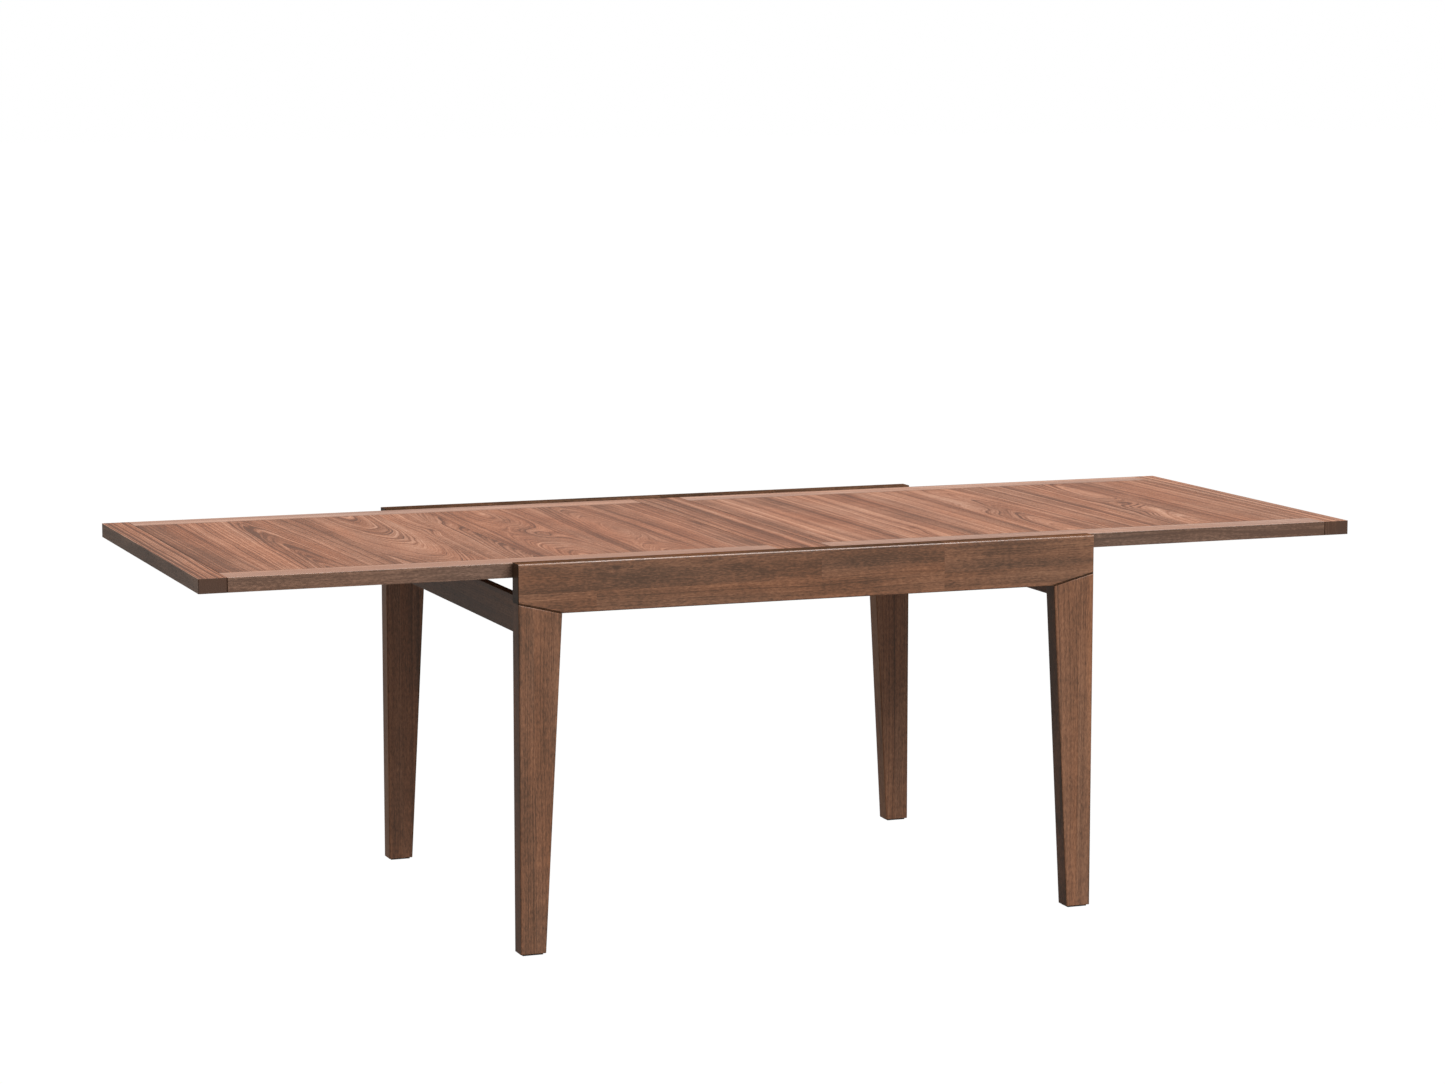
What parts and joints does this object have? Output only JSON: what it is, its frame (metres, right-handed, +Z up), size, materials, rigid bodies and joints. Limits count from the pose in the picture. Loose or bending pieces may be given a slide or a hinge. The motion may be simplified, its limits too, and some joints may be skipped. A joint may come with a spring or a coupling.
{
  "type": "extendable dining table",
  "caption": "Long dining table, drawn open: two framed halves of the top lie end to end between the rails of a frame on tapered legs; one half slides, the other folds over onto it.",
  "frame": {"origin": "on the floor under the centre of the open table", "axes": "+X along the table, +Y from the front to the back, +Z up"},
  "size_m": [2.4, 0.95, 0.7525],
  "materials": {
    "walnut_field_veneer": "satin lacquered walnut veneer, grain across the table",
    "walnut_breadboard": "satin lacquered walnut, grain across the table",
    "light_walnut_band": "satin lacquered pale walnut, grain along the table",
    "dark_walnut_rail": "satin lacquered dark walnut, jointed staves",
    "dark_walnut_leg": "satin lacquered dark walnut",
    "dark_walnut_end_rail": "satin lacquered dark walnut",
    "beech": "plain planed beech",
    "zinc_steel": "zinc plated",
    "nickel_hinge": "satin nickel plated",
    "felt": "pressed felt",
    "glide_nylon": "dark moulded nylon"
  },
  "bodies": {
    "frame": {"back_felt_strip": "felt", "back_left_bracket_bolt": "zinc_steel", "back_left_corner_bracket": "zinc_steel", "back_left_foot_glide": "glide_nylon", "back_left_leg": "dark_walnut_leg", "back_left_leg_dowel_inner": "beech", "back_left_leg_dowel_outer": "beech", "back_long_rail": "dark_walnut_rail", "back_right_bracket_bolt": "zinc_steel", "back_right_corner_bracket": "zinc_steel", "back_right_foot_glide": "glide_nylon", "back_right_leg": "dark_walnut_leg", "back_right_leg_dowel_inner": "beech", "back_right_leg_dowel_outer": "beech", "back_slide_guide": "beech", "closed_stop": "beech", "front_felt_strip": "felt", "front_left_bracket_bolt": "zinc_steel", "front_left_corner_bracket": "zinc_steel", "front_left_foot_glide": "glide_nylon", "front_left_leg": "dark_walnut_leg", "front_left_leg_dowel_inner": "beech", "front_left_leg_dowel_outer": "beech", "front_long_rail": "dark_walnut_rail", "front_right_bracket_bolt": "zinc_steel", "front_right_corner_bracket": "zinc_steel", "front_right_foot_glide": "glide_nylon", "front_right_leg": "dark_walnut_leg", "front_right_leg_dowel_inner": "beech", "front_right_leg_dowel_outer": "beech", "front_slide_guide": "beech", "left_crossbar": "beech", "left_end_rail": "dark_walnut_end_rail", "middle_crossbar": "beech", "open_stop": "beech", "right_crossbar": "beech", "right_end_rail": "dark_walnut_end_rail"},
    "sliding_top": {"back_hinge_right_cup": "nickel_hinge", "back_slide_runner": "beech", "front_hinge_right_cup": "nickel_hinge", "front_slide_runner": "beech", "middle_hinge_right_cup": "nickel_hinge", "right_back_edge_band": "light_walnut_band", "right_field_panel": "walnut_field_veneer", "right_front_edge_band": "light_walnut_band", "right_inner_breadboard": "walnut_breadboard", "right_outer_breadboard": "walnut_breadboard", "slide_stop_block": "beech"},
    "folding_top": {"back_hinge_left_cup": "nickel_hinge", "front_hinge_left_cup": "nickel_hinge", "left_back_edge_band": "light_walnut_band", "left_field_panel": "walnut_field_veneer", "left_front_edge_band": "light_walnut_band", "left_inner_breadboard": "walnut_breadboard", "left_outer_breadboard": "walnut_breadboard", "middle_hinge_left_cup": "nickel_hinge"},
    "hinge_links": {"back_hinge_link": "nickel_hinge", "front_hinge_link": "nickel_hinge", "middle_hinge_link": "nickel_hinge"}
  },
  "joints": [
    {"name": "top_slide", "type": "slide", "parent": "frame", "child": "sliding_top", "axis": [-1, 0, 0], "range_m": [0, 0.6]},
    {"name": "leaf_fold", "type": "hinge", "parent": "sliding_top", "child": "folding_top", "pos_m": [0, 0, 0.7503], "axis": [0, 1, 0], "range_deg": [0, 180]},
    {"name": "hinge_link_turn", "type": "hinge", "parent": "sliding_top", "child": "hinge_links", "pos_m": [0, 0, 0.7503], "axis": [0, 1, 0], "range_deg": [0, 90]}
  ],
  "couplings": [
    {"joint": "hinge_link_turn", "follows": "leaf_fold", "ratio": 0.5}
  ]
}
